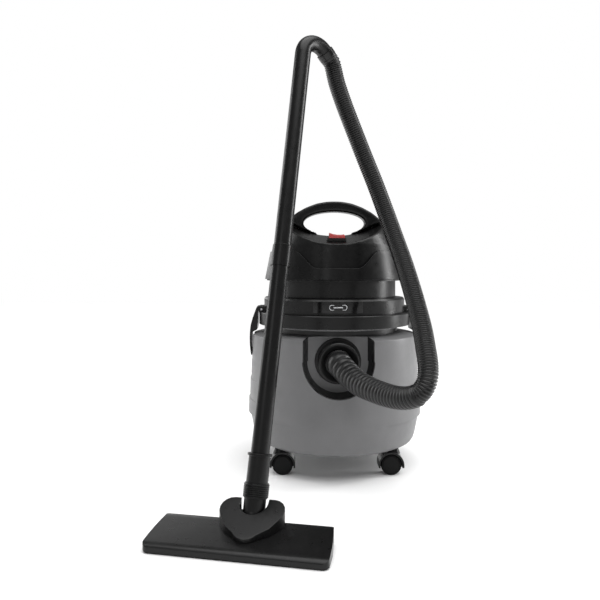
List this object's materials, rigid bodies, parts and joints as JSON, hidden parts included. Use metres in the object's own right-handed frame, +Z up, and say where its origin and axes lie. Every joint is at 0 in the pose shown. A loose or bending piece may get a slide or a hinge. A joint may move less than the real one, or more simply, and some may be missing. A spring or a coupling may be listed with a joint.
{
  "type": "wet and dry drum vacuum cleaner",
  "caption": "Drum vacuum cleaner on casters with a latched motor head, corrugated hose, angled wand and floor nozzle.",
  "frame": {"origin": "on the floor, under the axis of the tank", "axes": "+Z up, -Y towards the front with the hose inlet, +X to the right seen from the front"},
  "size_m": [0.4763, 0.6576, 0.8283],
  "materials": {
    "tank_grey": "satin, fine moulded texture",
    "black_satin": "satin",
    "black_gloss": "glossy",
    "seal_grey": "matt rubber",
    "black_rubber": "matt rubber",
    "hose_black": "satin, corrugated",
    "wheel_black": "satin",
    "red_switch": "glossy, translucent",
    "steel": "turned",
    "motor_metal": "pressed sheet",
    "copper": "copper",
    "brass": "brass",
    "filter_cloth": "felt",
    "white_float": "matt",
    "bristle": "bristle"
  },
  "bodies": {
    "tank": {"tank_shell": "tank_grey", "recess_liner": "black_gloss", "rim_seal": "black_rubber", "inlet_port": "black_satin", "caster_sockets": "black_satin", "inlet_deflector": "black_satin", "inlet_cuff": "hose_black", "hose_boot": "black_rubber", "hose": "hose_black", "hose_cuff": "hose_black"},
    "caster_fl": {"caster_hood_fl": "black_satin", "caster_axle_fl": "steel"},
    "wheels_fl": {"caster_wheels_fl": "wheel_black"},
    "caster_fr": {"caster_hood_fr": "black_satin", "caster_axle_fr": "steel"},
    "wheels_fr": {"caster_wheels_fr": "wheel_black"},
    "caster_rl": {"caster_hood_rl": "black_satin", "caster_axle_rl": "steel"},
    "wheels_rl": {"caster_wheels_rl": "wheel_black"},
    "caster_rr": {"caster_hood_rr": "black_satin", "caster_axle_rr": "steel"},
    "wheels_rr": {"caster_wheels_rr": "wheel_black"},
    "head": {"head_base": "black_satin", "head_seal": "seal_grey", "vent_neck": "black_satin", "lower_cover": "black_satin", "upper_cover": "black_satin", "carry_handle": "black_gloss", "switch_frame": "black_satin", "label_plate": "black_gloss", "fan_housing": "motor_metal", "motor_seal": "black_rubber", "motor_stator": "steel", "motor_bridge": "motor_metal", "motor_bearings": "steel", "brush_holders": "brass", "float_cage": "black_satin", "filter_sleeve": "filter_cloth", "filter_clamp": "black_satin", "blower_port": "black_satin", "cable_gland": "black_satin", "head_screws": "steel", "latch_pins": "steel"},
    "rocker": {"power_rocker": "red_switch"},
    "rotor": {"motor_rotor": "copper", "motor_shaft": "steel", "fan_impeller": "motor_metal"},
    "float": {"float_ball": "white_float"},
    "latch_l": {"latch_left": "black_satin"},
    "latch_r": {"latch_right": "black_satin"},
    "wand": {"handle_tube": "black_satin", "lower_tube": "black_satin", "nozzle_socket": "black_satin", "swivel_collar": "black_satin"},
    "neck": {"nozzle_neck": "black_satin"},
    "nozzle": {"nozzle_body": "black_satin", "neck_cover": "black_satin", "sole_plate": "black_satin", "nozzle_brushes": "bristle", "nozzle_screws": "steel"}
  },
  "joints": [
    {"name": "caster_swivel_fl", "type": "hinge", "parent": "tank", "child": "caster_fl", "pos_m": [-0.111, -0.095, 0.05], "axis": [0, 0, 1], "continuous": true},
    {"name": "wheel_roll_fl", "type": "hinge", "parent": "caster_fl", "child": "wheels_fl", "pos_m": [-0.106, -0.095, 0.02], "axis": [0, 1, 0], "continuous": true},
    {"name": "caster_swivel_fr", "type": "hinge", "parent": "tank", "child": "caster_fr", "pos_m": [0.111, -0.095, 0.05], "axis": [0, 0, 1], "continuous": true},
    {"name": "wheel_roll_fr", "type": "hinge", "parent": "caster_fr", "child": "wheels_fr", "pos_m": [0.106, -0.095, 0.02], "axis": [0, 1, 0], "continuous": true},
    {"name": "caster_swivel_rl", "type": "hinge", "parent": "tank", "child": "caster_rl", "pos_m": [-0.111, 0.095, 0.05], "axis": [0, 0, 1], "continuous": true},
    {"name": "wheel_roll_rl", "type": "hinge", "parent": "caster_rl", "child": "wheels_rl", "pos_m": [-0.106, 0.095, 0.02], "axis": [0, 1, 0], "continuous": true},
    {"name": "caster_swivel_rr", "type": "hinge", "parent": "tank", "child": "caster_rr", "pos_m": [0.111, 0.095, 0.05], "axis": [0, 0, 1], "continuous": true},
    {"name": "wheel_roll_rr", "type": "hinge", "parent": "caster_rr", "child": "wheels_rr", "pos_m": [0.106, 0.095, 0.02], "axis": [0, 1, 0], "continuous": true},
    {"name": "head_lift", "type": "slide", "parent": "tank", "child": "head", "axis": [0, 0, 1], "range_m": [0, 0.16]},
    {"name": "power_switch", "type": "hinge", "parent": "head", "child": "rocker", "pos_m": [0, -0.09166, 0.46054], "axis": [0, -0.9851, -0.1719], "range_deg": [0, 12]},
    {"name": "motor_spin", "type": "hinge", "parent": "head", "child": "rotor", "pos_m": [0, 0, 0.37], "axis": [0, 0, 1], "continuous": true},
    {"name": "float_rise", "type": "slide", "parent": "head", "child": "float", "axis": [0, 0, 1], "range_m": [0, 0.044]},
    {"name": "latch_left_open", "type": "hinge", "parent": "head", "child": "latch_l", "pos_m": [-0.1523, 0, 0.3183], "axis": [0, 1, 0], "range_deg": [0, 75]},
    {"name": "latch_right_open", "type": "hinge", "parent": "head", "child": "latch_r", "pos_m": [0.1523, 0, 0.3183], "axis": [0, -1, 0], "range_deg": [0, 75]},
    {"name": "handle_swivel", "type": "hinge", "parent": "tank", "child": "wand", "pos_m": [-0.02659, -0.16078, 0.805], "axis": [-0.5871, -0.4424, 0.6779], "range_deg": [0, 15]},
    {"name": "neck_swivel", "type": "hinge", "parent": "wand", "child": "neck", "pos_m": [-0.1414, -0.3769, 0.035], "axis": [0.096, 0.2274, 0.9691], "range_deg": [-60, 60]},
    {"name": "nozzle_pitch", "type": "hinge", "parent": "neck", "child": "nozzle", "pos_m": [-0.1414, -0.3769, 0.035], "axis": [0.981, -0.1942, 0], "range_deg": [-12, 50]}
  ]
}
